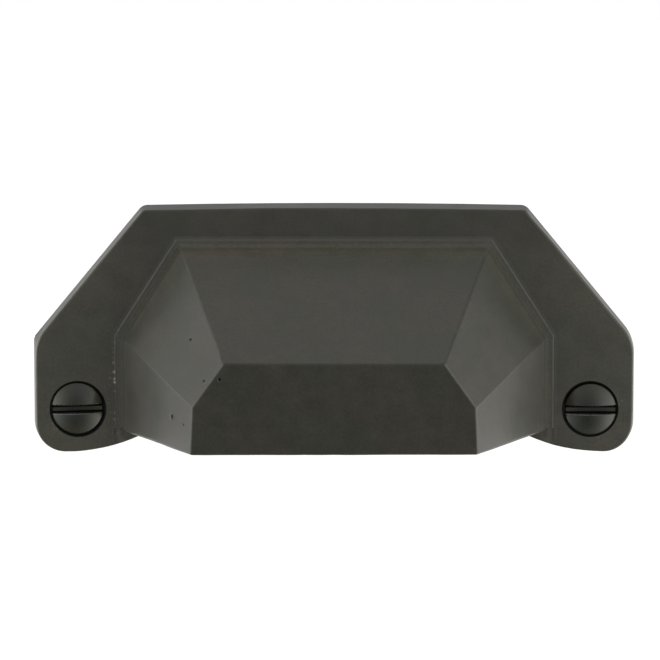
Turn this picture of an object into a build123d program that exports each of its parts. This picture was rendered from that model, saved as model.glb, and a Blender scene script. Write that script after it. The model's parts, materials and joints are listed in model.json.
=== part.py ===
from build123d import *
import os
from math import atan2, cos, degrees, radians, sin, sqrt, tan

os.makedirs("parts", exist_ok=True)

# A faceted bin pull: one hollow casting and the two oval-head wood screws that hold it to a drawer front.
# It is drawn lying on its back face, with x to the right, y up the drawer front and z out of it,
# y and z measured from the screw axes and the back face. It is stood up at the end.
# Lengths are in millimetres and angles in degrees.

# Screw positions, which the rest of the casting is placed from
HOLE_SPACING = 76.2  # between the two screw axes

# Faceted hood, where it meets the face of the plate
HOOD_MARGIN = 6.4  # from a screw axis in to the hood's side
HOOD_TOP = 24.5  # height of the hood's upper edge
HOOD_SHOULDER = 10.8  # height where the slanted cheek meets the upright side
HOOD_BOTTOM = 3.3  # how far the open lower edge lies below the screw axes
CHEEK_SPREAD = 8.8  # how far each cheek spreads sideways on its way down

# Faceted hood, at its front face
HOOD_PROJECTION = 25.4  # from the back face to the front face's upper edge
SIDE_TAPER = 11.5  # how far each side comes in on its way to the front
FACE_TOP = 10.3  # height of the front face's upper edge
FACE_CHEEK_SPREAD = 4.3  # how far each cheek spreads along the front face
FACE_LEAN = 5.0  # how far the front face leans back towards its lower edge

# Walls and soft edges of the hood
WALL = 2.8  # thickness of the hood's walls
EDGE_RADIUS = 0.5  # along the edges between facets and round the open rim
INSIDE_RADIUS = 1.5  # along the hollow's inner corners
ROOT_RADIUS = 0.5  # where the hood meets its land

# Low land on the plate round the hood
LAND_WIDTH = 1.0
LAND_HEIGHT = 0.25
LAND_SLOPE = 45.0  # of the land's edge

# Plate
PLATE_THICKNESS = 3.2
EAR_MARGIN = 6.65  # from a screw axis out to the plate's end
TOP_MARGIN = 6.0  # of plate above the hood
TOP_CROWN = 0.3  # how far the upper edge bows up in the middle
TOP_CORNER_RADIUS = 1.6
SLOPE_RUN = 16.3  # how far in each sloped edge runs
SHOULDER_HEIGHT = 10.4  # height where the sloped edge meets the plate's end
SHOULDER_RADIUS = 6.5
EAR_DROP = 3.6  # how far the ears hang below the hood's lower edge
EAR_RADIUS = 4.75  # of the ears' outer lower corners
RIM_MARGIN = 0.3  # of flat plate below the hood's rim, where the curve from an ear reaches the hollow
EDGE_DRAFT = 8.0  # the plate's edges slant in towards the front
PLATE_EDGE_RADIUS = 0.3  # along the plate's front edge

# Oval-head wood screws
HEAD_DIAMETER = 7.7
HEAD_ANGLE = 82.0  # full angle of the cone under the head
HEAD_RIM = 0.12  # height of the upright rim round the head
HEAD_DOME = 1.1  # height of the dome above the rim
NECK_DIAMETER = 3.6  # of the plain neck inside the plate
THREAD_DIAMETER = 4.17  # over the threads, which run from the plate's back to the point
SCREW_LENGTH = 19.05  # from the head's rim to the tip
POINT_LENGTH = 5.5
TIP_DIAMETER = 0.3
SLOT_WIDTH = 1.27
SLOT_DEPTH = 1.4  # below the top of the dome
LEFT_SLOT_TURN = 1.7
RIGHT_SLOT_TURN = 0.0

# Fits
SINK_MARGIN = 0.375  # the countersink is this much wider than the head all round
SEAT_GAP = 0.02  # between the head's cone and the countersink
HOLE_CLEARANCE = 0.165  # round the threads as they pass through

# Room by which blocks that cut or are trimmed run past the finished form
SPARE = 8.0

# Places nearer than this count as one
TOUCH = 1e-4

hood_half = HOLE_SPACING / 2 - HOOD_MARGIN
plate_half = HOLE_SPACING / 2 + EAR_MARGIN
plate_top = HOOD_TOP + TOP_MARGIN
ear_bottom = -HOOD_BOTTOM - EAR_DROP
land_face = PLATE_THICKNESS + LAND_HEIGHT

side_slope = SIDE_TAPER / (HOOD_PROJECTION - PLATE_THICKNESS)
hollow_half = hood_half - WALL * sqrt(1 + side_slope**2)
plate_inset = PLATE_THICKNESS * tan(radians(EDGE_DRAFT)) + PLATE_EDGE_RADIUS

cone_slope = tan(radians(HEAD_ANGLE / 2))
sink_radius = HEAD_DIAMETER / 2 + SINK_MARGIN
hole_radius = THREAD_DIAMETER / 2 + HOLE_CLEARANCE
rim_level = PLATE_THICKNESS - SINK_MARGIN / cone_slope + SEAT_GAP / sin(radians(HEAD_ANGLE / 2))


def plate_outline():
    """The plate's outline on its back face: bowed top, sloped edges, round ears and curves up to the hood."""
    corner_x = plate_half - SLOPE_RUN
    corner_y = plate_top - TOP_CROWN
    ear_x = plate_half - EAR_RADIUS
    ear_y = ear_bottom + EAR_RADIUS
    rim_y = -HOOD_BOTTOM - RIM_MARGIN - plate_inset
    run, rise = ear_x - hollow_half, rim_y - ear_bottom
    curve_radius = (run**2 + rise**2) / (2 * rise)
    turn = degrees(2 * atan2(rise, run))
    curve = CenterArc((ear_x, ear_bottom + curve_radius), curve_radius, -90 - turn, turn)
    ear = CenterArc((ear_x, ear_y), EAR_RADIUS, -90, 90)
    end = Line((plate_half, ear_y), (plate_half, SHOULDER_HEIGHT))
    slope = Line((plate_half, SHOULDER_HEIGHT), (corner_x, corner_y))
    top = ThreePointArc((corner_x, corner_y), (0, plate_top), (-corner_x, corner_y))
    right = Curve() + [curve, ear, end, slope]
    left = mirror(right, about=Plane.YZ)
    bottom = Line((-hollow_half, rim_y), (hollow_half, rim_y))
    outline = make_face([*right.edges(), top, *left.edges(), bottom])
    shoulders = outline.vertices().filter_by(lambda v: abs(v.Y - SHOULDER_HEIGHT) < TOUCH)
    outline = fillet(shoulders, SHOULDER_RADIUS)
    corners = outline.vertices().filter_by(lambda v: abs(v.Y - corner_y) < TOUCH)
    return fillet(corners, TOP_CORNER_RADIUS)


def plate():
    """The flat plate, drafted towards the front, with its front edge softened."""
    slab = extrude(plate_outline(), amount=PLATE_THICKNESS, taper=EDGE_DRAFT)
    front = slab.faces().sort_by(Axis.Z)[-1]
    return fillet(front.edges(), PLATE_EDGE_RADIUS)


def hood_corners(depth, bottom):
    """The six corners of the hood's section at a depth in front of the back face.

    The cheek runs along the front face in the same direction as along the plate, so each facet is flat.
    """
    cheek_drop = (HOOD_TOP - HOOD_SHOULDER) / CHEEK_SPREAD
    along = (depth - PLATE_THICKNESS) / (HOOD_PROJECTION - PLATE_THICKNESS)
    side_x = hood_half - SIDE_TAPER * along
    spread = CHEEK_SPREAD + (FACE_CHEEK_SPREAD - CHEEK_SPREAD) * along
    top_y = HOOD_TOP + (FACE_TOP - HOOD_TOP) * along
    right = [(side_x - spread, top_y), (side_x, top_y - spread * cheek_drop), (side_x, bottom)]
    left = [(-x, y) for x, y in reversed(right)]
    return [(x, y, depth) for x, y in right + left]


def hood_block(back, bottom):
    """A solid block with the hood's outer facets, from a depth at the back to the leaning front face."""
    near = hood_corners(back, bottom)
    far = hood_corners(HOOD_PROJECTION + SPARE, bottom)
    facets = [make_face(Polyline(*near, close=True)), make_face(Polyline(*far, close=True))]
    for i, corner in enumerate(near):
        facets.append(make_face(Polyline(near[i - 1], corner, far[i], far[i - 1], close=True)))
    block = Part() + Solid(Shell([facet.face() for facet in facets]))
    lean = radians(FACE_LEAN)
    front = Plane((0, FACE_TOP, HOOD_PROJECTION), x_dir=(1, 0, 0), z_dir=(0, -sin(lean), cos(lean)))
    return split(block, bisect_by=front, keep=Keep.BOTTOM)


def soften(block, radius, *ends):
    """The block with its edges rounded, apart from those round the faces at the ends of the given axes."""
    kept = [edge for axis in ends for edge in block.faces().sort_by(axis)[0].edges()]
    return fillet([edge for edge in block.edges() if edge not in kept], radius)


def hollow():
    """The space inside the hood, which runs out through the back and the open bottom."""
    outer = hood_block(-SPARE, -HOOD_BOTTOM - SPARE)
    inner = offset(outer, amount=-WALL, kind=Kind.INTERSECTION)
    return soften(inner, INSIDE_RADIUS, Axis.Y, Axis.Z)


def land():
    """The low land on the plate that the hood rises from."""
    footprint = make_face(Polyline(*hood_corners(PLATE_THICKNESS, -HOOD_BOTTOM - SPARE), close=True))
    footprint = offset(footprint, amount=LAND_WIDTH, kind=Kind.INTERSECTION)
    return extrude(footprint, amount=LAND_HEIGHT, taper=LAND_SLOPE)


def screw_hole():
    """The countersink and the hole below it, as one cutting form about the z axis."""
    sink_depth = (sink_radius - hole_radius) / cone_slope
    profile = Polyline(
        (0, PLATE_THICKNESS + SPARE),
        (sink_radius, PLATE_THICKNESS + SPARE),
        (sink_radius, PLATE_THICKNESS),
        (hole_radius, PLATE_THICKNESS - sink_depth),
        (hole_radius, -SPARE),
        (0, -SPARE),
        close=True,
    )
    return revolve(Plane.XZ * make_face(profile), Axis.Z)


def pull_body():
    """The casting: plate, land and hood in one piece, hollow, with its two screw holes."""
    long_hood = soften(hood_block(PLATE_THICKNESS, -HOOD_BOTTOM - SPARE), EDGE_RADIUS, Axis.Y, Axis.Z)
    body = plate() + land() + long_hood
    level_edges = body.edges().filter_by(lambda edge: abs(edge.center().Z - land_face) < TOUCH)
    roots = [edge for edge in level_edges if edge.is_interior]
    body = fillet(roots, ROOT_RADIUS)

    # The hood and its land end at the open lower edge, where the hood's rim is rounded outside and inside
    below = Box(2 * plate_half, 3 * SPARE, 2 * HOOD_PROJECTION, align=(Align.CENTER, Align.MAX, Align.MIN))
    body -= Pos(0, EDGE_RADIUS - HOOD_BOTTOM, PLATE_THICKNESS) * below
    body += soften(hood_block(0, -HOOD_BOTTOM), EDGE_RADIUS, Axis.Z)
    inside = hollow()
    body -= inside
    rim = body.faces().filter_by(Axis.Y).sort_by(Axis.Y)[0]
    inner_edges = [edge for edge in rim.edges() if inside.distance_to(edge.center()) < TOUCH]
    body = fillet(inner_edges, EDGE_RADIUS)

    for x in (-HOLE_SPACING / 2, HOLE_SPACING / 2):
        body -= Pos(x, 0, 0) * screw_hole()
    return body


def mounting_screw(slot_turn):
    """One slotted oval-head wood screw about the z axis, seated in its countersink."""
    head_radius = HEAD_DIAMETER / 2
    neck_radius = NECK_DIAMETER / 2
    thread_radius = THREAD_DIAMETER / 2
    dome_base = rim_level + HEAD_RIM
    dome_top = dome_base + HEAD_DOME
    dome_radius = (head_radius**2 + HEAD_DOME**2) / (2 * HEAD_DOME)
    halfway = head_radius / 2
    halfway_level = dome_top - dome_radius + sqrt(dome_radius**2 - halfway**2)
    tip_level = rim_level - SCREW_LENGTH
    dome = ThreePointArc((head_radius, dome_base), (halfway, halfway_level), (0, dome_top))
    below = Polyline(
        (0, dome_top),
        (0, tip_level),
        (TIP_DIAMETER / 2, tip_level),
        (thread_radius, tip_level + POINT_LENGTH),
        (thread_radius, 0),
        (neck_radius, 0),
        (neck_radius, rim_level - (head_radius - neck_radius) / cone_slope),
        (head_radius, rim_level),
        (head_radius, dome_base),
    )
    solid = revolve(Plane.XZ * make_face([dome, *below.edges()]), Axis.Z)
    upwards = (Align.CENTER, Align.CENTER, Align.MIN)
    slot = Box(2 * HEAD_DIAMETER, SLOT_WIDTH, SLOT_DEPTH + SPARE, align=upwards)
    return solid - Pos(0, 0, dome_top - SLOT_DEPTH) * Rot(0, 0, slot_turn) * slot


# Stand the parts up: y becomes height and z points out towards the front
STAND = Rot(90, 0, 0)

left_screw = Pos(-HOLE_SPACING / 2, 0, 0) * mounting_screw(LEFT_SLOT_TURN)
right_screw = Pos(HOLE_SPACING / 2, 0, 0) * mounting_screw(RIGHT_SLOT_TURN)

export_step(STAND * pull_body(), "parts/pull_body.step")
export_step(STAND * Compound([left_screw, right_screw]), "parts/mounting_screws.step")
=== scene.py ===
import json
import math

import bmesh
import bpy
from bpy.props import FloatProperty, FloatVectorProperty, IntProperty, PointerProperty
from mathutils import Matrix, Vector


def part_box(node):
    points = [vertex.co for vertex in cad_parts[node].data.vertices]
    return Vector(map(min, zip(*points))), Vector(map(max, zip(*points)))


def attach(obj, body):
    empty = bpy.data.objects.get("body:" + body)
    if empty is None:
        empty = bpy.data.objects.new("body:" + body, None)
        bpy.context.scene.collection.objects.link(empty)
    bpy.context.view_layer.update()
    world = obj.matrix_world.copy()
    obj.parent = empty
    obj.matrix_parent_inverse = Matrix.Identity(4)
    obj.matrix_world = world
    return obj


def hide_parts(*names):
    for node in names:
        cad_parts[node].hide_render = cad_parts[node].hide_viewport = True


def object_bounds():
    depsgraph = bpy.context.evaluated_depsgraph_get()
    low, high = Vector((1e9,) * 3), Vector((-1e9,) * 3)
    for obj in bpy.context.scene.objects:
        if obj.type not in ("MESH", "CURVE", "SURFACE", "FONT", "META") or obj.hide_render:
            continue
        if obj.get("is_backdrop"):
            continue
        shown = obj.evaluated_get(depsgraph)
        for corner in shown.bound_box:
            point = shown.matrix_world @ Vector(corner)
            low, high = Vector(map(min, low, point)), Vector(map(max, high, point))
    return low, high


bl_info = {
    "name": "Bin Pull",
    "version": (1, 0, 0),
    "blender": (4, 5, 0),
    "location": "3D View > Sidebar > Bin Pull",
    "description": "Dresses a faceted cast bin pull and its two slotted screws",
    "category": "Add Mesh",
}

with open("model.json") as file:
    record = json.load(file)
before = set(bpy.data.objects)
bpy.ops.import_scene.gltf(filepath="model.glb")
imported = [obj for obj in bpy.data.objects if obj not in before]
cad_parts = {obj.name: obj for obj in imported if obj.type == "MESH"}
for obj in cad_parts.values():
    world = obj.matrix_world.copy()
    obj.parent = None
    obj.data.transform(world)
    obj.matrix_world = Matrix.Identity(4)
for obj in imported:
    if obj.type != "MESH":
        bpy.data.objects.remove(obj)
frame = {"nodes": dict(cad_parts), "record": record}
CAD_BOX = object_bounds()

# Screw axes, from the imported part's own screw mount, in metres.
HALF_SPACING = frame["record"]["mounts"][0]["dims"]["spacing_x_mm"] / 2000

# How far each screw sits from the middle of its hole, in metres.
LEFT_OFF_CENTRE = (-0.0001, -0.0001, 0.00005)
RIGHT_OFF_CENTRE = (0.00009, -0.0001, -0.00009)

# Larger pits in the cast skin: where each one is, its radius and its depth.
CAST_PITS = (
    ((-0.02089, -0.01651, 0.01257), 0.00022, 0.00012),
    ((-0.01877, -0.02386, 0.00757), 0.00024, 0.00012),
    ((-0.02363, -0.01879, 0.00152), 0.00036, 0.00018),
    ((-0.02180, -0.02230, 0.00093), 0.00020, 0.00010),
    ((-0.01650, -0.02520, 0.00800), 0.00024, 0.00010),
)
PIT_LIP = 1.3  # radii over which a pit runs out
PIT_SKIN = 5  # radii of skin round a pit that are divided finely
PIT_CUTS = 3  # times that this skin is divided
PIT_STAIN = (1.15, 0.7)  # radii between which the black of a pit sets in

# How the casting's mesh is joined, cut, filed and shaded.
SAME_POINT = 0.000002
FLAT_ANGLE = math.radians(0.2)
CUT_SNAP = 0.00002
SHOULDER_REACH = 0.0009  # how near to its rounding a point of the shoulder lies
EDGE_REACH = 0.0011  # how near to it a point of the plate's edge lies
EDGE_FACING = 0.1  # how far such a point at least faces outwards
FILED_TOP = 0.0285  # height where the filing of the right edge ends
FILED_FADE = 0.004  # length over which the filing runs out above and below
CLEAR_OF_SINK = 0.002  # width over which the waves set in round a countersink
FULL_EDGE_BEND = math.radians(8)  # bend at which a point lies fully on an edge
CASTING_SHARP = 40  # degrees, below the 45 of the land's edge, which stays crisp
SCREW_SHARP = 22  # degrees

# How the screws are turned, slotted and threaded.
DOME_STEPS = 12
DOME_END = 0.985  # share of the dome's angle at which its last ring lies
RIM_EDGE = 0.00003  # width of the fine edge between dome and rim
NECK_END = 0.0005  # in front of the thread's start
CORE_START = 0.0006  # behind the thread's start
POINT_WAIST = (0.55, 0.42)  # share of the core's radius, and of the point's length that is left there
TIP_RADIUS = 0.0001
TURNED_SAME_POINT = 0.0000005
SLICE_SNAP = 1e-7
LIP_FLUSH = 1e-6  # how near to the slot's wall a point of its edge lies
LIP_CLEAR = 1e-5  # how far such a point at least lies in front of the slot's floor
LIP_FACING = -0.5  # how far a face beside it faces the front
SAW_MARGIN = 0.001  # how far the saw stands out of the dome
SAW_LINE = 0.3  # edge lines along the slot's floor, as a share of its width from the middle
LIP_PRESS = 0.7  # how deep the slot's edges are pressed, as a share of their width
THREAD_STEPS = 32  # per turn
THREAD_SUNK = 0.0003  # how deep the ridge stands in the core
THREAD_FOOT = 0.00002  # height of the flanks' foot over the core
THREAD_END = 0.0012  # where the thread ends in front of the tip
THREAD_RUN_IN = 1.2  # turns over which the thread rises
THREAD_LOW = 0.25  # share of its height with which it starts
POINT_LOW = 0.08  # share of its radius at the tip
POINT_BEND = 0.8  # how full the point is
POINT_GAP = 0.0004  # from the tip to where the taper ends
THREAD_STOP = 0.0003  # from the tip to the last place of the thread

# Soft lights round the object: the direction each one shines from and how bright it looks there.
SOFT_LIGHTS = (
    ((0.80, -0.60, 0.10), 1.52),
    ((-0.80, -0.60, 0.10), 0.62),
    ((0.00, -0.80, 0.60), 0.2),
    ((1.00, 0.10, -0.50), 3.6),
    ((-1.00, 0.00, -0.12), 2.7),
    ((0.00, 0.10, 1.00), 0.81),
    ((0.00, 0.95, 0.10), 0.47),
    ((-0.35, 0.93, 0.05), 0.29),
)
SOFT_LIGHT_NARROWNESS = 5.0
GLOSS_LIMIT = 2.0  # brightest light that a reflection sees
OTHER_LIMIT = 9  # how much more everything else sees
BACKDROP_BACK = (0.5, 0.7)  # white backdrop: how far a direction points backwards
BACKDROP_UP = (0.25, 0.1)  # and upwards
FRAME_WIDTH = 36  # of the camera, in millimetres

# Patterns in the casting's finish: sizes in metres.
BLOTCH_SIZE = 0.009
CLOUD_SIZE = 0.0024
RAGGED_SIZE = 0.0009
GRAIN_SIZE = 0.0004
RAGGED_REACH = 0.00015  # how far ragged marks stray from the land's edge
PIT_DOTS = (0.0046, 0.0002, 0.22)  # small pits: spacing, radius and share of places that hold one
DUST_DOTS = (0.0007, 0.00024, 0.5)  # specks of dry polish

# Where the marks on the casting lie. Each pair is where a mark sets in and where it is full: in metres along
# the axis at the end of the name, or as a share for how a face is turned and how far a point lies on an edge.
PLATE_FRONT_Y = (-0.0022, -0.0029)
NEAR_PLATE_Y = (-0.0062, -0.0042)
ON_PLATE_Y = (-0.0045, -0.0036)
ABOVE_RIM_Z = (-0.0052, -0.0038)
UPRIGHT_Z = (0.0135, 0.0105)  # the land's edge stands upright below
LEFT_UPRIGHT_X = (0.0, -0.01)
LEFT_X = (0.008, -0.008)
EARS_X = (0.030, 0.037)
STRIP_Z = (0.022, 0.026)  # strip of the plate above the land
SINK_Y = (-0.0001, -0.0006)
SINK_SOFT = 0.00005  # half the soft border of the painted shade in the gap round a screw head
SINK_DUST = (0.0016, 0.0002)  # dust out from that gap
FRONT_SHADE_Y = (-0.012, -0.018)
FRONT_SHADE_FACING = (-0.85, -0.96)
SIDES_Y = ((-0.0035, -0.005), (-0.025, -0.017))
SIDES_FACING = (0.75, 0.85)
RIDGE_Y = ((-0.0042, -0.006), (-0.0243, -0.0228))
RIDGE_Z = (0.009, 0.011)
RIDGE_ON_EDGE = (0.2, 0.5)

# Bands along the land, as distances outwards from its foot: the inner and the outer border of each.
OUTSIDE_BAND = ((-0.0001, 0.0001), (0.0012, 0.0003))
BEAD_BAND = ((-0.0007, -0.0003), (0.0006, 0.0001))
EDGE_BAND = ((-0.0004, -0.0002), (0.0002, 0.0))
ROOT_BAND = ((-0.0009, -0.0004), (0.0003, 0.0))  # from the land's inner side
CORNER_BAND = ((-0.0036, -0.0010), (-0.0003, -0.0009))
CORNER_SIDES = (-0.0012, -0.0020)  # the corner ends earlier on the hood's sides
AT_TOP = (-0.0005, 0.0002)  # how far the upper edge is the nearest one

# Marks on the screws, in metres.
SCREW_BLOTCH_SIZE = 0.0024
SCREW_GRAIN_SIZE = 0.00035
SLOT_SOFT = 0.00003  # half the soft border of the painted shade in the slot
LIT_STRIP_OFF = 0.00004  # how far below the slot's middle the painted lit strip lies on its floor
LIT_STRIP_BAND = (0.00034, 0.0002)  # out from there
LIP_BAND = ((-0.00016, -0.00006), (0.00004, -0.00002))  # painted highlight, from the slot's lower wall
LIP_X = (0.0034, -0.001)
RIM_SHARE = (0.25, 0.96)  # shares of the head's radius between which a painted reflection makes the dome paler
NICK_DOTS = (0.0013, 0.00011, 0.3)  # spacing, radius and share of places that hold one

# Depth of the finest relief, in metres.
CASTING_RELIEF = 0.00003
SCREW_RELIEF = 0.00001


def length(name, description, default):
    """A size in metres that a user may change."""
    return FloatProperty(name=name, description=description, default=default, unit="LENGTH", precision=6)


def share(name, description, default):
    """A part of one that a user may change."""
    return FloatProperty(name=name, description=description, default=default, subtype="FACTOR", min=0, max=1)


def angle(name, description, default):
    """An angle that a user may change."""
    return FloatProperty(name=name, description=description, default=default, subtype="ANGLE")


def colour(name, description, default):
    """A linear colour that a user may change."""
    return FloatVectorProperty(name=name, description=description, default=default, subtype="COLOR", min=0, max=1)


class CastingSettings(bpy.types.PropertyGroup):
    """Sizes and colours of the cast body."""

    mesh_step: length("Mesh Step", "Distance between the cuts that divide the flat faces", 0.0009)
    wave_depth: length("Wave Depth", "Full depth of the slow waves in the cast skin", 0.00022)
    wave_size: length("Wave Size", "Distance between the waves in the cast skin", 0.009)
    flat_back: length("Flat Back", "Depth from the back face over which the waves fade in", 0.0016)
    sink_radius: length("Sink Radius", "Radius of the countersinks at the plate's face", 0.004225)
    plate_thickness: length("Plate Thickness", "From the back face to the plate's front", 0.0032)
    shoulder: length("Shoulder", "Height where the sloped edge meets the plate's end", 0.0104)
    shoulder_radius: length("Shoulder Radius", "Rounding of the plate's shoulders", 0.0065)
    slope_tilt: angle("Slope Tilt", "How far the plate's sloped edge faces up", math.atan2(16.3, 19.8))
    right_filed: length("Right Filed", "How much steeper the plate's right edge stands", 0.00015)
    patina: colour("Patina", "Olive black of the patina", (0.0365, 0.0370, 0.0252))
    brown: colour("Brown", "Warmer blotches in the patina", (0.0420, 0.0385, 0.0262))
    # Painted highlight and painted sheen: pale colour along the land's edge, on the upper ridges on the left and on
    # the hood's sides.
    wear_and_highlight: colour("Worn", "Rubbed metal on ridges, and pale polish on the hood's sides", (0.11, 0.107, 0.094))
    residue: colour("Residue", "Dry polish left in the corners", (0.30, 0.27, 0.20))
    # Black of the pits, and painted shade in the gap round the screw heads, along the land and on the upper ridges
    # on the right.
    near_black: colour("Soot", "Black of the pits and of the gap round the screw heads", (0.008, 0.008, 0.007))
    roughness: share("Roughness", "Gloss of the patina, lower is glossier", 0.38)
    metallic: share("Metallic", "How much bare metal shows through the patina", 0.3)
    ior: FloatProperty(name="IOR", description="How strongly the waxed patina reflects", default=1.7, min=1, max=3)
    land_side: length("Land Side", "From the middle out to the upright edge of the land", 0.0327)
    land_top: length("Land Top", "Height of the land's upper edge above the screws", 0.0255)
    land_cheek: length("Land Cheek", "From the middle of the screws to the land's slanted edge", 0.03351)
    cheek_tilt: angle("Cheek Tilt", "How far the land's slanted edge faces up", math.atan2(8.8, 13.7))
    land_width: length("Land Width", "Width of the land from its foot to the hood", 0.001)


class ScrewSettings(bpy.types.PropertyGroup):
    """Sizes and colours of the two screws."""

    head_radius: length("Head Radius", "Radius of the head at its rim", 0.00385)
    dome_top: length("Dome Top", "How far the dome's top stands in front of the back face", 0.00402)
    rim_front: length("Rim Front", "Front of the rim, where the dome starts", 0.00292)
    rim_back: length("Rim Back", "Back of the rim, where the cone starts", 0.0028)
    neck_radius: length("Neck Radius", "Radius of the plain neck", 0.0018)
    cone_end: length("Cone End", "Where the cone meets the neck, in front of the back face", 0.000442)
    tip: length("Tip", "How far the point reaches behind the back face", 0.01625)
    point_length: length("Point Length", "Length of the tapered point", 0.0055)
    thread_start: length("Thread Start", "Where the thread fades in behind the back face", 0.003)
    thread_radius: length("Thread Radius", "Radius over the thread's crest", 0.002085)
    root_radius: length("Root Radius", "Radius of the core between the threads", 0.00145)
    pitch: length("Pitch", "Distance from one thread to the next", 0.00169)
    slot_width: length("Slot Width", "Width of the driver slot", 0.00127)
    slot_floor: length("Slot Floor", "Floor of the slot, in front of the back face", 0.00262)
    slot_edge: length("Slot Edge", "Width of the rubbed edge along the slot", 0.00012)
    left_turn: angle("Left Turn", "Turn of the left screw's slot", math.radians(-2.0))
    sides: IntProperty(name="Sides", description="Steps round the turned head", default=96, min=24)
    black: colour("Black", "Green black of the screws", (0.025, 0.0255, 0.0150))
    # Painted shade in the slot.
    near_black: colour("Soot", "Grime deep in the slot", (0.006, 0.006, 0.005))
    cool: colour("Cool", "Bluer blotches on the screws", (0.020, 0.0245, 0.0195))
    # Painted highlight on the slot's lower lip, and wear in the nicks on the rim.
    wear_and_highlight: colour("Worn", "Rubbed metal on the rim and slot", (0.16, 0.16, 0.145))
    roughness: share("Roughness", "Gloss of the screws, lower is glossier", 0.28)
    metallic: share("Metallic", "How much bare metal shows", 0.35)
    ior: FloatProperty(name="IOR", description="How strongly the blackened skin reflects", default=1.7, min=1, max=3)


class StageSettings(bpy.types.PropertyGroup):
    """Camera, floor and light."""

    eye_x: length("Eye X", "Camera to the right of the object's middle", -0.0006)
    eye_y: length("Eye Y", "Camera in front of the back face", -0.6936)
    eye_z: length("Eye Z", "Camera above the screws", 0.1163)
    elevation: angle("Elevation", "How far the camera looks down", math.radians(8.6))
    lens: FloatProperty(name="Lens", description="Focal length in millimetres on a 36 mm frame", default=256.65)
    floor_drop: length("Floor Drop", "From the screws down to the floor", 0.06)
    floor_front: length("Floor Front", "Front edge of the floor, behind the back face", 0.004)
    floor_radius: length("Floor Radius", "Radius of the floor", 0.7)
    floor: colour("Floor", "Pale floor", (0.8, 0.8, 0.8))
    floor_glow: share("Floor Glow", "Lifts the floor to white where the camera or a reflection sees it", 0.5)


class Wire:
    """One output of a node, in the tree of a material or of the world. Sums on it add Math nodes."""

    def __init__(self, tree, socket=None):
        self.tree, self.socket = tree, socket

    def node(self, kind, settings=None, inputs=None, output=0):
        """Adds any node: its settings first, then the values or wires of its sockets."""
        made = self.tree.nodes.new(kind)
        for key, value in (settings or {}).items():
            setattr(made, key, value)
        for key, value in (inputs or {}).items():
            if isinstance(value, Wire):
                self.tree.links.new(value.socket, made.inputs[key])
            else:
                made.inputs[key].default_value = value
        return Wire(self.tree, made.outputs[output] if made.outputs else None)

    def math(self, operation, *values):
        return self.node("ShaderNodeMath", {"operation": operation}, dict(enumerate(values)))

    def __add__(self, other):
        return self.math("ADD", self, other)

    def __radd__(self, other):
        return self.math("ADD", other, self)

    def __sub__(self, other):
        return self.math("SUBTRACT", self, other)

    def __rsub__(self, other):
        return self.math("SUBTRACT", other, self)

    def __mul__(self, other):
        return self.math("MULTIPLY", self, other)

    def __rmul__(self, other):
        return self.math("MULTIPLY", other, self)

    def __truediv__(self, other):
        return self.math("DIVIDE", self, other)

    def __pow__(self, other):
        return self.math("POWER", self, other)

    def __abs__(self):
        return self.math("ABSOLUTE", self)

    def most(self, other):
        """The larger of this value and another."""
        return self.math("MAXIMUM", self, other)

    def ease(self, start, end, low=0.0, high=1.0):
        """Goes softly from low at start to high at end, and stays there beyond them."""
        if start > end:
            start, end, low, high = end, start, high, low
        settings = {"interpolation_type": "SMOOTHSTEP"}
        return self.node("ShaderNodeMapRange", settings, {0: self, 1: start, 2: end, 3: low, 4: high})

    def band(self, inner, outer):
        """1 between two soft borders, each given as the places where the band sets in and is full."""
        return self.ease(*inner) * self.ease(*outer)

    def tint(self, shade, other):
        """Colour that goes from one shade to the other as this value goes from 0 to 1."""
        settings = {"data_type": "RGBA"}
        return self.node("ShaderNodeMix", settings, {0: self, 6: opaque(shade), 7: opaque(other)}, 2)

    def scaled(self, factor):
        """This colour made lighter or darker."""
        return self.node("ShaderNodeVectorMath", {"operation": "SCALE"}, {0: self, "Scale": factor})

    def xyz(self):
        return [self.node("ShaderNodeSeparateXYZ", inputs={0: self}, output=axis) for axis in range(3)]

    def noise(self, size, detail=2.0, roughness=0.5):
        """Soft noise at this place, with blotches of that size in metres."""
        inputs = {"Vector": self, "Scale": 1 / size, "Detail": detail, "Roughness": roughness}
        return self.node("ShaderNodeTexNoise", inputs=inputs)

    def moved(self, *offset):
        """This place shifted, so that two patterns of one kind don't fall on each other."""
        return self.node("ShaderNodeMapping", inputs={"Vector": self, "Location": offset})

    def dots(self, spacing, radius, share_kept, dimensions="3D"):
        """Round dots at this place, of uneven size and with a soft edge: some of the cells hold one."""
        inputs = {"Vector": self, "Scale": 1 / spacing, "Randomness": 1.0}
        cell = self.node("ShaderNodeTexVoronoi", {"voronoi_dimensions": dimensions}, inputs)
        pick = Wire(self.tree, cell.socket.node.outputs["Color"]).xyz()
        size = pick[1] * 0.7 + 0.5
        near = (cell / (size * (radius / spacing))).ease(1.0, 0.55)
        return near * pick[0].math("LESS_THAN", pick[0], share_kept)


def opaque(shade):
    """A colour as a node's socket takes it; a wire stays as it is."""
    return shade if isinstance(shade, Wire) else (*shade, 1.0)


def shifted(band, place):
    """The borders of a band, moved to a place."""
    return [[place + step for step in border] for border in band]


def empty_material(name):
    """A material without nodes, and the wire to build it on."""
    material = bpy.data.materials.new(name)
    material.use_nodes = True
    material.node_tree.nodes.clear()
    return material, Wire(material.node_tree)


def new_finish(name):
    """The wire of a new material, and a function that closes the material with one shader."""
    material, wire = empty_material(name)

    def close(inputs):
        shader = wire.node("ShaderNodeBsdfPrincipled", inputs=inputs)
        wire.node("ShaderNodeOutputMaterial", inputs={"Surface": shader})
        return material

    return wire, close


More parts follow.
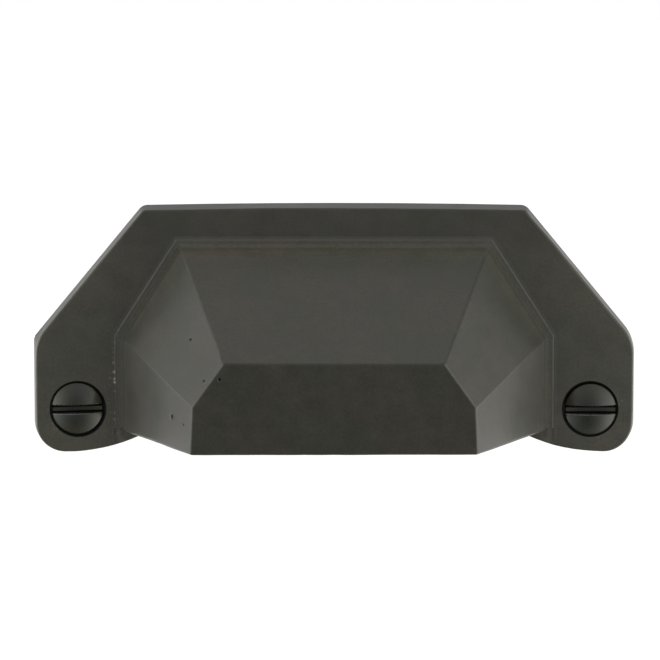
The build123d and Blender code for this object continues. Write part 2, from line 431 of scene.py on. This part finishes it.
def bronze_patina(s):
    """Dark satin patina on cast bronze, with blotches, grain and pits.

    The upper ridges carry a painted highlight on the left and painted shade on the right. Painted shade and specks
    of dry polish lie along the land, and painted shade fills the gap round the screw heads, with dust round it.
    """
    wire, close = new_finish("dark_bronze_patina")
    place = wire.node("ShaderNodeTexCoord", output="Object")
    wear_and_highlight = wire.node("ShaderNodeAttribute", {"attribute_name": "wear_and_highlight"}, output="Fac")
    sideways, facing, _ = wire.node("ShaderNodeNewGeometry", output="Normal").xyz()
    x, y, z = place.xyz()
    wide = abs(x)

    blotch = place.noise(BLOTCH_SIZE, 3.0).ease(0.38, 0.62)
    cloud = place.moved(0.3, 0.1, 0.2).noise(CLOUD_SIZE, 3.0)
    grain = place.noise(GRAIN_SIZE, 3.0, 0.65)
    pits = place.moved(0.02, 0.05, 0.01).dots(*PIT_DOTS)
    ragged = place.moved(0.1, 0.2, 0.3).noise(RAGGED_SIZE, 4.0, 0.7)
    front = wire.node("ShaderNodeCombineXYZ", inputs={0: x, 1: z})
    specks = front.dots(*DUST_DOTS, "2D")

    # How far a point lies outside the foot of the land, as seen from the front, and bands at such distances.
    tilt = wide * math.cos(s.cheek_tilt) + z * math.sin(s.cheek_tilt) - s.land_cheek
    beyond = tilt.most(wide - s.land_side)
    at_top = (z - s.land_top - beyond).ease(*AT_TOP)
    beyond = beyond.most(z - s.land_top) + (ragged - 0.5) * RAGGED_REACH
    in_front = y.ease(*PLATE_FRONT_Y)
    near_plate = in_front * y.ease(*NEAR_PLATE_Y) * z.ease(*ABOVE_RIM_Z)
    outside = beyond.band(*OUTSIDE_BAND) * near_plate
    bead = beyond.band(*BEAD_BAND) * near_plate
    edge = beyond.band(*EDGE_BAND) * near_plate
    root = beyond.band(*shifted(ROOT_BAND, -s.land_width)) * near_plate
    upright = z.ease(*UPRIGHT_Z)
    # Painted light: the corner inside the land, up into the hood, is made paler against its shade.
    corner = beyond.band(*CORNER_BAND) * in_front
    corner = corner * (1 - upright * beyond.ease(*CORNER_SIDES))
    left_upright = upright * x.ease(*LEFT_UPRIGHT_X)

    # Painted shade: the gap in the countersinks round the screw heads is painted black; a ring round them holds
    # dust.
    side = wide - HALF_SPACING
    reach = (side * side + z * z) ** 0.5
    sink_shade = reach.ease(s.sink_radius + SINK_SOFT, s.sink_radius - SINK_SOFT) * y.ease(*SINK_Y)
    ring = [s.sink_radius + away for away in SINK_DUST]
    round_sink = reach.ease(*ring) * (1 - sink_shade) * in_front

    # Painted shade makes the front and the plate's top strip darker; painted light makes the ears and the corner
    # inside the land paler, and a painted sheen makes the hood's sides paler.
    front_shade = facing.ease(*FRONT_SHADE_FACING) * y.ease(*FRONT_SHADE_Y)
    sides = abs(sideways).ease(*SIDES_FACING) * y.band(*SIDES_Y)
    on_plate = in_front * y.ease(*ON_PLATE_Y)
    ear_light = on_plate * wide.ease(*EARS_X)
    strip_shade = on_plate * z.ease(*STRIP_Z)
    painted_light_and_shade = 1 - 0.17 * front_shade + 0.24 * ear_light - 0.2 * strip_shade + corner * (0.6 + 0.3 * at_top)

    # How thick dust lies, and how dark the painted shade is at the land's foot, along its edge and in the hood's
    # root.
    dust = (bead * 0.8 + outside * 0.4) * left_upright + round_sink * 0.2
    dust = dust * specks * (0.25 + 0.75 * cloud.ease(0.45, 0.65))
    # Painted shade that dims the land's edge, except along its top, darkest on the left upright.
    shaded = (1 - at_top) * (0.22 + 0.25 * upright + 0.2 * left_upright)
    painted_shade = outside * (0.02 + ragged.ease(0.3, 0.75) * 0.15) + edge * shaded + root * (0.32 - 0.2 * at_top)
    black = (pits * 0.8).most(sink_shade).most(cast_marks(place))

    # Colours, from the patina up. The upper ridges get a painted highlight on the left and painted shade on the
    # right.
    shade = blotch.tint(s.patina, s.brown)
    shade = shade.scaled((0.3 + 0.5 * cloud + 0.9 * grain) * painted_light_and_shade)
    # Painted sheen on the hood's sides.
    shade = (sides * 0.2).tint(shade, s.wear_and_highlight)
    ridge = wear_and_highlight.ease(*RIDGE_ON_EDGE) * y.band(*RIDGE_Y) * z.ease(*RIDGE_Z)
    left = x.ease(*LEFT_X)
    shade = (ridge * left * (0.2 + 0.5 * cloud)).tint(shade, s.wear_and_highlight)
    shade = (ridge * (1 - left) * (0.15 + 0.4 * cloud)).tint(shade, s.near_black)
    shade = painted_shade.tint(shade, s.near_black)
    # Painted highlight along the land's edge.
    shade = (bead * (0.06 + 0.1 * at_top + 0.26 * ragged)).tint(shade, s.wear_and_highlight)
    shade = (dust * 0.8).tint(shade, s.residue)
    shade = black.tint(shade, s.near_black)

    rough = s.roughness - 0.05 + 0.1 * cloud + 0.1 * dust + 0.2 * painted_shade + 0.25 * black + 0.3 * root
    dull = (painted_shade * 0.8).most(black)
    # On the front, more metal over the dark base darkens it further as painted shade.
    metal = s.metallic + 0.16 * front_shade + (0.84 - s.metallic) * dull
    height = 0.9 * grain + 0.8 * cloud - 1.6 * pits + 0.6 * dust + 0.5 * bead * ragged
    bump = wire.node("ShaderNodeBump", inputs={"Strength": 0.6, "Distance": CASTING_RELIEF, "Height": height})
    return close({"Base Color": shade, "Roughness": rough, "Metallic": metal, "IOR": s.ior, "Normal": bump})


def cast_marks(place):
    """1 inside the larger cast pits."""
    marks = None
    for spot, radius, _ in CAST_PITS:
        away = place.node("ShaderNodeVectorMath", {"operation": "DISTANCE"}, {0: place, 1: spot}, "Value")
        mark = away.ease(*[radius * part for part in PIT_STAIN])
        marks = mark if marks is None else marks.most(mark)
    return marks


def screw_black(s):
    """Smooth blackened metal with cool blotches and nicks, painted shade in the slot with a painted lit strip along
    its floor, a painted highlight on the lower lip, and a painted reflection that leaves the dome dark in the middle
    and paler at the rim.
    """
    wire, close = new_finish("screw_black")
    place = wire.node("ShaderNodeTexCoord", output="Object")
    own = wire.node("ShaderNodeAttribute", {"attribute_name": "own"}, output="Vector")
    x, y, z = own.xyz()
    head = y.ease(-s.cone_end, -s.rim_back)
    half = s.slot_width / 2

    blotch = place.noise(SCREW_BLOTCH_SIZE, 2.0).ease(0.46, 0.66)
    grain = place.noise(SCREW_GRAIN_SIZE, 2.0)
    # Painted reflection: the dome is darker in the middle and paler towards the rim.
    rim = ((x * x + z * z) ** 0.5).ease(*[part * s.head_radius for part in RIM_SHARE]) * head
    nicks = place.dots(*NICK_DOTS) * rim
    shade = blotch.tint(s.black, s.cool).scaled(0.5 + 0.2 * grain + 0.8 * rim)
    # Painted shade in the slot, with a painted lit strip along the middle of its floor.
    slot = abs(z).ease(half + SLOT_SOFT, half - SLOT_SOFT) * head
    lit_strip = abs(z + LIT_STRIP_OFF).ease(*LIT_STRIP_BAND) * slot
    painted_shade = slot - lit_strip * (0.75 + 0.3 * grain)
    # Painted highlight on the slot's lower lip, strongest on the left.
    lip_highlight = z.band(*shifted(LIP_BAND, -half)) * head
    lip_highlight = lip_highlight * x.ease(*LIP_X, 0.1, 0.9) * (0.4 + 0.9 * grain)
    shade = painted_shade.tint(shade, s.near_black)
    shade = lip_highlight.most(nicks * 0.5).tint(shade, s.wear_and_highlight)
    rough = s.roughness - 0.04 + 0.1 * blotch + 0.06 * grain + 0.4 * painted_shade
    metal = s.metallic + (1 - s.metallic) * painted_shade
    bump = wire.node("ShaderNodeBump", inputs={"Strength": 0.15, "Distance": SCREW_RELIEF, "Height": grain})
    return close({"Base Color": shade, "Roughness": rough, "Metallic": metal, "IOR": s.ior, "Normal": bump})


def clamp(value):
    """The value, kept between 0 and 1."""
    return min(1, max(0, value))


def make_active(piece):
    """Selects one piece and nothing else."""
    bpy.ops.object.select_all(action="DESELECT")
    piece.select_set(True)
    bpy.context.view_layer.objects.active = piece


def open_for_editing(piece):
    """Opens one piece in edit mode."""
    make_active(piece)
    bpy.ops.object.mode_set(mode="EDIT")


def pick(piece, kind, test):
    """Selects only the points or faces that the test accepts, and gives how many."""
    bpy.ops.mesh.select_mode(type=kind)
    bpy.ops.mesh.select_all(action="DESELECT")
    mesh = bmesh.from_edit_mesh(piece.data)
    picked = [part for part in (mesh.verts if kind == "VERT" else mesh.faces) if test(part)]
    for part in picked:
        part.select_set(True)
    bmesh.update_edit_mesh(piece.data)
    return len(picked)


def apply_modifier(piece, name, kind, **settings):
    """Adds a modifier with these settings and applies it."""
    make_active(piece)
    modifier = piece.modifiers.new(name, kind)
    for key, value in settings.items():
        setattr(modifier, key, value)
    bpy.ops.object.modifier_apply(modifier=modifier.name)


def mark_edges(piece, full_bend):
    """Keeps on each point how far it lies on an outer edge, where the upper ridges get a painted highlight on the
    left and painted shade on the right.
    """
    mesh = bmesh.new()
    mesh.from_mesh(piece.data)
    wear_and_highlight = mesh.verts.layers.float.new("wear_and_highlight")
    for vert in mesh.verts:
        bends = [edge.calc_face_angle_signed(0) for edge in vert.link_edges if len(edge.link_faces) == 2]
        vert[wear_and_highlight] = clamp(max(bends) / full_bend)
    mesh.to_mesh(piece.data)
    mesh.free()


def keep_own_place(piece):
    """Keeps each point's place in the piece as it was modelled, for marks that turn with the piece."""
    own = piece.data.attributes.new("own", "FLOAT_VECTOR", "POINT")
    own.data.foreach_set("vector", [value for vert in piece.data.vertices for value in vert.co])


def even_shading(piece, degrees):
    """Smooth shading with sharp edges above an angle, led by the larger faces."""
    make_active(piece)
    bpy.ops.object.shade_smooth_by_angle(angle=math.radians(degrees))
    apply_modifier(piece, "Even Shading", "WEIGHTED_NORMAL", keep_sharp=True, weight=50)


class BINPULL_OT_casting(bpy.types.Operator):
    """Dress the cast body: plate, land and hood"""

    bl_idname = "bin_pull.casting"
    bl_label = "Casting"

    def execute(self, context):
        s = context.scene.bin_pull_casting
        casting = bpy.data.objects.new("pull_casting", frame["nodes"]["pull_body"].data.copy())
        context.scene.collection.objects.link(casting)
        casting.data.name = "pull_casting"
        casting.data.materials.clear()
        self.merge(casting)
        self.divide(casting, s.mesh_step)
        self.file_edges(casting, s)
        mark_edges(casting, FULL_EDGE_BEND)
        self.wave(casting, s)
        self.sink_pits(casting)
        even_shading(casting, CASTING_SHARP)
        casting.data.materials.append(bronze_patina(s))
        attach(casting, "root")
        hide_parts("pull_body")
        return {"FINISHED"}

    def merge(self, casting):
        """Makes one skin of the loose triangles, with whole flat faces."""
        open_for_editing(casting)
        bpy.ops.mesh.customdata_custom_splitnormals_clear()
        bpy.ops.mesh.select_all(action="SELECT")
        bpy.ops.mesh.mark_sharp(clear=True)
        bpy.ops.mesh.remove_doubles(threshold=SAME_POINT)
        bpy.ops.mesh.dissolve_limited(angle_limit=FLAT_ANGLE)
        bpy.ops.object.mode_set(mode="OBJECT")

    def divide(self, casting, step):
        """Cuts the flat faces into squares, so that they can take the waves of a casting."""
        low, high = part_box("pull_body")
        open_for_editing(casting)
        for axis in (0, 2):
            normal = [float(axis == i) for i in range(3)]
            for count in range(math.ceil(low[axis] / step), math.floor(high[axis] / step) + 1):
                bpy.ops.mesh.select_all(action="SELECT")
                place = [count * step * n for n in normal]
                bpy.ops.mesh.bisect(plane_co=place, plane_no=normal, threshold=CUT_SNAP)
        bpy.ops.object.mode_set(mode="OBJECT")

    def file_edges(self, casting, s):
        """Leaves the left shoulder pointed at the back, as sawn, and the right edge steeper, as filed by hand."""
        half = CAD_BOX[1][0]
        turn = s.slope_tilt
        drop = s.shoulder_radius * (1 - math.cos(turn)) / math.sin(turn)
        corner = (s.shoulder_radius - half, s.shoulder - drop)
        slope = half * math.cos(turn) + s.shoulder * math.sin(turn)
        mesh = bmesh.new()
        mesh.from_mesh(casting.data)
        mesh.normal_update()
        for vert in mesh.verts:
            deep = clamp(-vert.co.y / s.plate_thickness)
            out = Vector((vert.co.x - corner[0], 0, vert.co.z - corner[1]))
            round_it = math.atan2(out.z, -out.x)
            if 0 < round_it < turn and abs(out.length - s.shoulder_radius) < SHOULDER_REACH and deep < 1:
                vert.co += out * (1 / math.cos(min(round_it, turn - round_it)) - 1) * (1 - deep)
            away = Vector((vert.normal.x, 0, vert.normal.z))
            height = vert.co.x * math.cos(turn) + vert.co.z * math.sin(turn)
            at_edge = height > slope - EDGE_REACH or vert.co.x > half - EDGE_REACH
            if at_edge and away.length > EDGE_FACING and away.x > 0:
                fade = clamp((vert.co.z + FILED_FADE) / FILED_FADE) * clamp((FILED_TOP - vert.co.z) / FILED_FADE)
                vert.co += away.normalized() * s.right_filed * deep * fade
        mesh.to_mesh(casting.data)
        mesh.free()

    def wave(self, casting, s):
        """Lets the cast skin wander a little, but not on the back face or in the screw holes."""
        skin = casting.vertex_groups.new(name="cast_skin")
        for vert in casting.data.vertices:
            reach = math.hypot(abs(vert.co.x) - HALF_SPACING, vert.co.z)
            clear = clamp((reach - s.sink_radius) / CLEAR_OF_SINK)
            deep = clamp(-vert.co.y / s.flat_back)
            skin.add([vert.index], clear * deep, "REPLACE")
        waves = bpy.data.textures.new("cast_waves", "CLOUDS")
        waves.noise_scale = s.wave_size
        waves.noise_depth = 2
        apply_modifier(
            casting, "Cast Skin", "DISPLACE", texture=waves, texture_coords="LOCAL",
            vertex_group="cast_skin", strength=s.wave_depth, mid_level=0.5,
        )

    def sink_pits(self, casting):
        """Divides the skin finely round each larger pit and presses the pit in."""
        open_for_editing(casting)
        for spot, radius, depth in CAST_PITS:
            near = PIT_SKIN * radius
            for _ in range(PIT_CUTS):
                pick(casting, "FACE", lambda face: (face.calc_center_median() - Vector(spot)).length < near)
                bpy.ops.mesh.subdivide(number_cuts=1)
            mesh = bmesh.from_edit_mesh(casting.data)
            for vert in mesh.verts:
                away = (vert.co - Vector(spot)).length / radius
                if away < PIT_LIP:
                    vert.co -= vert.normal * depth * (1 - (away / PIT_LIP) ** 2)
            bmesh.update_edit_mesh(casting.data)
        bpy.ops.object.mode_set(mode="OBJECT")


class BINPULL_OT_screws(bpy.types.Operator):
    """Turn, slot and thread one screw, then set a copy in each ear"""

    bl_idname = "bin_pull.screws"
    bl_label = "Screws"

    def execute(self, context):
        s = context.scene.bin_pull_screws
        screw = self.turn(s)
        self.cut_slot(screw, s)
        self.add_thread(screw, s)
        keep_own_place(screw)
        even_shading(screw, SCREW_SHARP)
        screw.data.materials.append(screw_black(s))
        self.place(screw, "left_screw", -HALF_SPACING, LEFT_OFF_CENTRE, s.left_turn)
        self.place(screw, "right_screw", HALF_SPACING, RIGHT_OFF_CENTRE, 0.0)
        bpy.data.objects.remove(screw)
        return {"FINISHED"}

    def turn(self, s):
        """Turned head, neck, core and point, with the axis along Y."""
        rise = s.dome_top - s.rim_front
        ball = (s.head_radius**2 + rise**2) / (2 * rise)
        spread = math.asin(s.head_radius / ball)
        dome = []
        for step in range(DOME_STEPS + 1):
            bend = spread * step / DOME_STEPS * (1 if step < DOME_STEPS else DOME_END)
            dome.append((ball * math.sin(bend), ball - s.dome_top - ball * math.cos(bend)))
        rim = [(s.head_radius, -s.rim_front + RIM_EDGE), (s.head_radius, -s.rim_back)]
        neck = [(s.neck_radius, -s.cone_end), (s.neck_radius, s.thread_start - NECK_END)]
        point_start = s.tip - s.point_length
        core = [(s.root_radius, s.thread_start + CORE_START), (s.root_radius, point_start)]
        waist = (s.root_radius * POINT_WAIST[0], s.tip - s.point_length * POINT_WAIST[1])
        point = [waist, (TIP_RADIUS, s.tip - TIP_RADIUS), (0.0, s.tip)]
        return self.spin(dome + rim + neck + core + point, s.sides)

    def spin(self, profile, sides):
        """Draws a profile of radius and place point by point and spins it round the Y axis."""
        bpy.ops.object.select_all(action="DESELECT")
        bpy.ops.mesh.primitive_plane_add(size=0.001, location=(0, 0, 0))
        piece = bpy.context.object
        piece.name = piece.data.name = "screw"
        bpy.ops.object.mode_set(mode="EDIT")
        bpy.ops.mesh.select_mode(type="VERT")
        bpy.ops.mesh.select_all(action="SELECT")
        bpy.ops.mesh.merge(type="CENTER")
        bpy.ops.transform.translate(value=(profile[0][0], profile[0][1], 0))
        for (r0, y0), (r1, y1) in zip(profile, profile[1:]):
            bpy.ops.mesh.extrude_vertices_move(TRANSFORM_OT_translate={"value": (r1 - r0, y1 - y0, 0)})
        bpy.ops.mesh.select_all(action="SELECT")
        bpy.ops.mesh.spin(steps=sides, angle=math.tau, center=(0, 0, 0), axis=(0, 1, 0), use_auto_merge=True)
        bpy.ops.mesh.select_all(action="SELECT")
        bpy.ops.mesh.remove_doubles(threshold=TURNED_SAME_POINT)
        bpy.ops.mesh.select_all(action="SELECT")
        bpy.ops.mesh.normals_make_consistent(inside=False)
        bpy.ops.object.mode_set(mode="OBJECT")
        return piece

    def cut_slot(self, screw, s):
        """Saws the slot through the head, then presses its two upper edges down a little, as a driver does."""
        half, front = s.slot_width / 2, s.dome_top + SAW_MARGIN
        self.slice_across(screw, (-half - s.slot_edge, half + s.slot_edge))
        bpy.ops.object.select_all(action="DESELECT")
        bpy.ops.mesh.primitive_cube_add(
            size=1, location=(0, -(front + s.slot_floor) / 2, 0),
            scale=(s.head_radius * 3, front - s.slot_floor, s.slot_width),
        )
        saw = bpy.context.object
        bpy.ops.object.transform_apply(location=True, rotation=True, scale=True)
        self.slice_across(saw, (-SAW_LINE * s.slot_width, 0, SAW_LINE * s.slot_width))
        apply_modifier(screw, "Slot", "BOOLEAN", operation="DIFFERENCE", object=saw, solver="EXACT")
        bpy.data.objects.remove(saw)
        open_for_editing(screw)

        def on_lip(vert):
            flush = abs(abs(vert.co.z) - half) < LIP_FLUSH and vert.co.y < -s.slot_floor - LIP_CLEAR
            return flush and any(face.normal.y < LIP_FACING for face in vert.link_faces)

        if not pick(screw, "VERT", on_lip):
            raise RuntimeError("the slot has no edges to press down")
        bpy.ops.transform.translate(value=(0, s.slot_edge * LIP_PRESS, 0))
        bpy.ops.object.mode_set(mode="OBJECT")

    def slice_across(self, piece, levels):
        """Cuts edge lines along the slot at these distances from its middle."""
        open_for_editing(piece)
        for level in levels:
            bpy.ops.mesh.select_all(action="SELECT")
            bpy.ops.mesh.bisect(plane_co=(0, 0, level), plane_no=(0, 0, 1), threshold=SLICE_SNAP)
        bpy.ops.object.mode_set(mode="OBJECT")

    def add_thread(self, screw, s):
        """Winds a closed ridge along the core and fades it in at its start and out along the point."""
        bpy.ops.object.select_all(action="DESELECT")
        bpy.ops.mesh.primitive_circle_add(vertices=6, radius=0.001, fill_type="NOTHING")
        ridge = bpy.context.object
        inside, foot, crest = s.root_radius - THREAD_SUNK, s.root_radius + THREAD_FOOT, s.thread_radius
        # Radius, and place along the axis as a share of the pitch.
        section = [(inside, 0.36), (foot, 0.3), (crest, 0.04), (crest, -0.04), (foot, -0.3), (inside, -0.36)]
        for vert, (radius, place) in zip(ridge.data.vertices, section):
            vert.co = (radius, s.thread_start + place * s.pitch, 0)
        turns = math.ceil((s.tip - THREAD_END - s.thread_start) / s.pitch)
        apply_modifier(
            ridge, "Thread", "SCREW", axis="Y", angle=math.tau, screw_offset=s.pitch, iterations=turns,
            steps=THREAD_STEPS, render_steps=THREAD_STEPS, use_merge_vertices=False,
        )
        point_start = s.tip - s.point_length
        for vert in ridge.data.vertices:
            radius = math.hypot(vert.co.x, vert.co.z)
            along = vert.co.y
            fade = clamp((along - s.thread_start) / (THREAD_RUN_IN * s.pitch))
            wanted = inside + (radius - inside) * (THREAD_LOW + (1 - THREAD_LOW) * fade)
            if along > point_start:
                left = max(0.0, (s.tip - POINT_GAP - along) / (s.tip - POINT_GAP - point_start))
                wanted *= POINT_LOW + (1 - POINT_LOW) * left**POINT_BEND
            vert.co.x *= wanted / radius
            vert.co.z *= wanted / radius
            vert.co.y = min(along, s.tip - THREAD_STOP)
        open_for_editing(ridge)
        bpy.ops.mesh.select_all(action="SELECT")
        bpy.ops.mesh.fill_holes(sides=0)
        bpy.ops.mesh.select_all(action="SELECT")
        bpy.ops.mesh.normals_make_consistent(inside=False)
        bpy.ops.object.mode_set(mode="OBJECT")
        bpy.ops.object.select_all(action="DESELECT")
        ridge.select_set(True)
        screw.select_set(True)
        bpy.context.view_layer.objects.active = screw
        bpy.ops.object.join()

    def place(self, screw, name, side, off_centre, turn):
        """Sets a copy of the screw in an ear, its slot turned about the screw's own axis."""
        make_active(screw)
        bpy.ops.object.duplicate(linked=False)
        copy = bpy.context.object
        copy.name = copy.data.name = name
        copy.rotation_euler = (0, turn, 0)
        copy.location = (side + off_centre[0], off_centre[1], off_centre[2])
        bpy.ops.object.transform_apply(location=True, rotation=True, scale=True)
        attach(copy, "root")
        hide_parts("mounting_screws")


class BINPULL_OT_stage(bpy.types.Operator):
    """Set up the camera, pale floor and soft light"""

    bl_idname = "bin_pull.stage"
    bl_label = "Stage"

    def execute(self, context):
        s = context.scene.bin_pull_stage
        self.set_camera(context.scene, s)
        self.lay_floor(s)
        self.light_world(context.scene)
        context.scene.view_settings.view_transform = "Standard"
        return {"FINISHED"}

    def set_camera(self, scene, s):
        camera = bpy.data.objects.new("camera", bpy.data.cameras.new("camera"))
        scene.collection.objects.link(camera)
        camera.location = (s.eye_x, s.eye_y, s.eye_z)
        camera.rotation_euler = (math.pi / 2 - s.elevation, 0, 0)
        camera.data.sensor_width = FRAME_WIDTH
        camera.data.lens = s.lens
        camera.data.clip_start = 0.01
        scene.camera = camera

    def lay_floor(self, s):
        """A round pale floor behind and below, seen from above only."""
        bpy.ops.object.select_all(action="DESELECT")
        place = (0, s.floor_radius + s.floor_front, -s.floor_drop)
        bpy.ops.mesh.primitive_circle_add(vertices=96, radius=s.floor_radius, fill_type="NGON", location=place)
        floor = bpy.context.object
        floor.name = floor.data.name = "floor"
        material, wire = empty_material("pale_floor")
        paint = wire.node("ShaderNodeBsdfDiffuse", inputs={"Color": opaque(s.floor)})
        glow = wire.node("ShaderNodeEmission", inputs={"Strength": self.seen(wire) * s.floor_glow})
        top = wire.node("ShaderNodeAddShader", inputs={0: paint, 1: glow})
        under = wire.node("ShaderNodeNewGeometry", output="Backfacing")
        clear = wire.node("ShaderNodeBsdfTransparent")
        both = wire.node("ShaderNodeMixShader", inputs={0: under, 1: top, 2: clear})
        wire.node("ShaderNodeOutputMaterial", inputs={"Surface": both})
        floor.data.materials.append(material)
        floor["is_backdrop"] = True

    def seen(self, wire):
        """1 for what the camera, a reflection or glass sees."""
        camera, gloss, glass = [self.is_ray(wire, kind) for kind in ("Camera", "Glossy", "Transmission")]
        return camera.most(gloss).most(glass)

    def is_ray(self, wire, kind):
        """1 for a light ray of this kind."""
        return wire.node("ShaderNodeLightPath", output=f"Is {kind} Ray")

    def light_world(self, scene):
        """Soft lights all round, a white backdrop behind the object, and white wherever the camera looks past it."""
        world = bpy.data.worlds.new("studio")
        scene.world = world
        world.use_nodes = True
        world.node_tree.nodes.clear()
        wire = Wire(world.node_tree)
        way = wire.node("ShaderNodeTexCoord", output="Generated")
        room = sum(self.soft_light(way, *light) for light in SOFT_LIGHTS)
        # Reflections see the lights only up to a limit, so that flat facets don't glare when seen along them.
        room = room.math("MINIMUM", room, GLOSS_LIMIT + OTHER_LIMIT * (1 - self.is_ray(wire, "Glossy")))
        _, back, up = way.xyz()
        backdrop = back.ease(*BACKDROP_BACK) * up.ease(*BACKDROP_UP) * self.seen(wire)
        white = backdrop.most(self.is_ray(wire, "Camera"))
        level = room + (1 - room) * white
        background = wire.node("ShaderNodeBackground", inputs={"Color": (1, 1, 1, 1), "Strength": level})
        wire.node("ShaderNodeOutputWorld", inputs={"Surface": background})

    def soft_light(self, way, place, strength):
        """How bright one soft light looks in each direction."""
        middle = Vector(place).normalized()
        facing = way.node("ShaderNodeVectorMath", {"operation": "DOT_PRODUCT"}, {0: way, 1: middle}, "Value")
        fall = (facing - 1) * SOFT_LIGHT_NARROWNESS
        return fall.math("EXPONENT", fall) * strength


class BINPULL_PT_panel(bpy.types.Panel):
    """Lists the steps and settings"""

    bl_label = "Bin Pull"
    bl_idname = "BINPULL_PT_panel"
    bl_space_type = "VIEW_3D"
    bl_region_type = "UI"
    bl_category = "Bin Pull"

    def draw(self, context):
        for kind, settings in STEPS:
            box = self.layout.box()
            box.operator(kind.bl_idname)
            group = getattr(context.scene, settings)
            for name in group.bl_rna.properties.keys():
                if name not in ("rna_type", "name"):
                    box.prop(group, name)


GROUPS = (
    ("bin_pull_casting", CastingSettings),
    ("bin_pull_screws", ScrewSettings),
    ("bin_pull_stage", StageSettings),
)
STEPS = (
    (BINPULL_OT_casting, "bin_pull_casting"),
    (BINPULL_OT_screws, "bin_pull_screws"),
    (BINPULL_OT_stage, "bin_pull_stage"),
)


def register():
    for name, group in GROUPS:
        bpy.utils.register_class(group)
        setattr(bpy.types.Scene, name, PointerProperty(type=group))
    for operator, _ in STEPS:
        bpy.utils.register_class(operator)
    bpy.utils.register_class(BINPULL_PT_panel)


def unregister():
    bpy.utils.unregister_class(BINPULL_PT_panel)
    for operator, _ in reversed(STEPS):
        bpy.utils.unregister_class(operator)
    for name, group in reversed(GROUPS):
        delattr(bpy.types.Scene, name)
        bpy.utils.unregister_class(group)


def main():
    register()
    bpy.ops.bin_pull.casting()
    bpy.ops.bin_pull.screws()
    bpy.ops.bin_pull.stage()
    boxes = {"cad": CAD_BOX, "visual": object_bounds()}
    {name: [list(corner) for corner in box] for name, box in boxes.items()}


if __name__ == "__main__":
    main()
